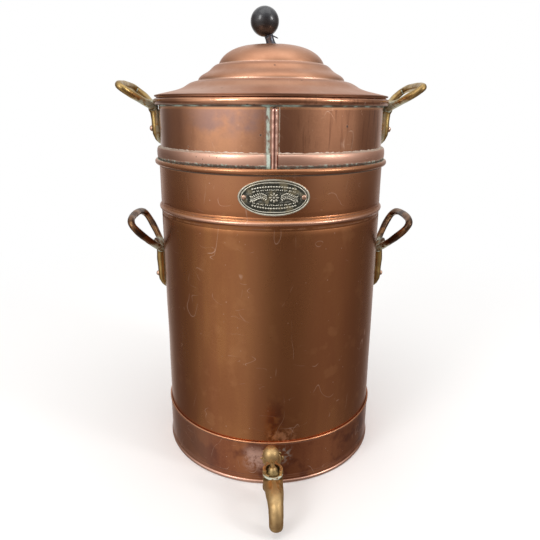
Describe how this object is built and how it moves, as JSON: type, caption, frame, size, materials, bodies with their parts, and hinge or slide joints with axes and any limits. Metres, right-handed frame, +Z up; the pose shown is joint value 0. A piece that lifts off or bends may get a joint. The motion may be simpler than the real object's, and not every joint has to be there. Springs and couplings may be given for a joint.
{
  "type": "copper boiler with tap",
  "caption": "Antique copper draw-off boiler: wired tank on a base band, lift-out strainer pan, stepped lid with ball knob, brass loop handles and a ball-headed plug tap.",
  "frame": {"origin": "middle of the round foot, at floor level, on the tank's axis", "axes": "+Z up along the tank's axis; -Y is the front, with the tap, the name plate and the seam strip; +X is the right-hand handles as seen from the front"},
  "size_m": [0.396, 0.405, 0.6017],
  "materials": {
    "tank_copper": "aged copper, satin, brown patina",
    "pan_copper": "aged copper, polished, heat tints",
    "lid_copper": "light satin copper",
    "rivet_copper": "worn copper",
    "handle_brass": "cast brass with verdigris",
    "tap_brass": "worn cast brass",
    "white_metal": "stamped white metal with dark patina",
    "dark_iron": "blackened iron",
    "black_knob": "polished black wood or hard rubber",
    "gasket_leather": "greased leather"
  },
  "bodies": {
    "tank": {"tank_shell": "tank_copper", "base_band": "tank_copper", "tank_bottom": "tank_copper", "tank_rim_wire": "dark_iron", "base_rim_wire": "dark_iron", "name_plate": "white_metal", "plate_rivets": "rivet_copper", "tank_handle_left": "handle_brass", "tank_handle_right": "handle_brass", "tank_handle_rivets": "rivet_copper", "tank_handle_burrs": "rivet_copper", "tap_flange": "tap_brass", "tap_body": "tap_brass", "tap_gasket": "gasket_leather", "tap_backnut": "tap_brass"},
    "plug": {"tap_plug": "tap_brass", "tap_plug_washer": "tap_brass", "tap_plug_screw": "tap_brass"},
    "pan": {"pan_shell": "pan_copper", "pan_strainer": "pan_copper", "pan_rim_wire": "dark_iron", "stop_bead": "pan_copper", "seam_strip": "pan_copper", "pan_handle_left": "handle_brass", "pan_handle_right": "handle_brass", "pan_handle_rivets": "rivet_copper", "pan_handle_burrs": "rivet_copper"},
    "lid": {"lid_shell": "lid_copper", "lid_collar": "lid_copper", "knob_ball": "black_knob", "knob_neck": "dark_iron", "knob_tab_washer": "dark_iron", "knob_stud": "dark_iron", "knob_under_washer": "dark_iron", "knob_nut": "dark_iron"}
  },
  "joints": [
    {"name": "pan_lift", "type": "slide", "parent": "tank", "child": "pan", "axis": [0, 0, 1], "range_m": [0, 0.1]},
    {"name": "lid_lift", "type": "slide", "parent": "pan", "child": "lid", "axis": [0, 0, 1], "range_m": [0, 0.08]},
    {"name": "tap_turn", "type": "hinge", "parent": "tank", "child": "plug", "pos_m": [0, -0.19, 0.04], "axis": [0, 0, 1], "range_deg": [0, 90]}
  ]
}
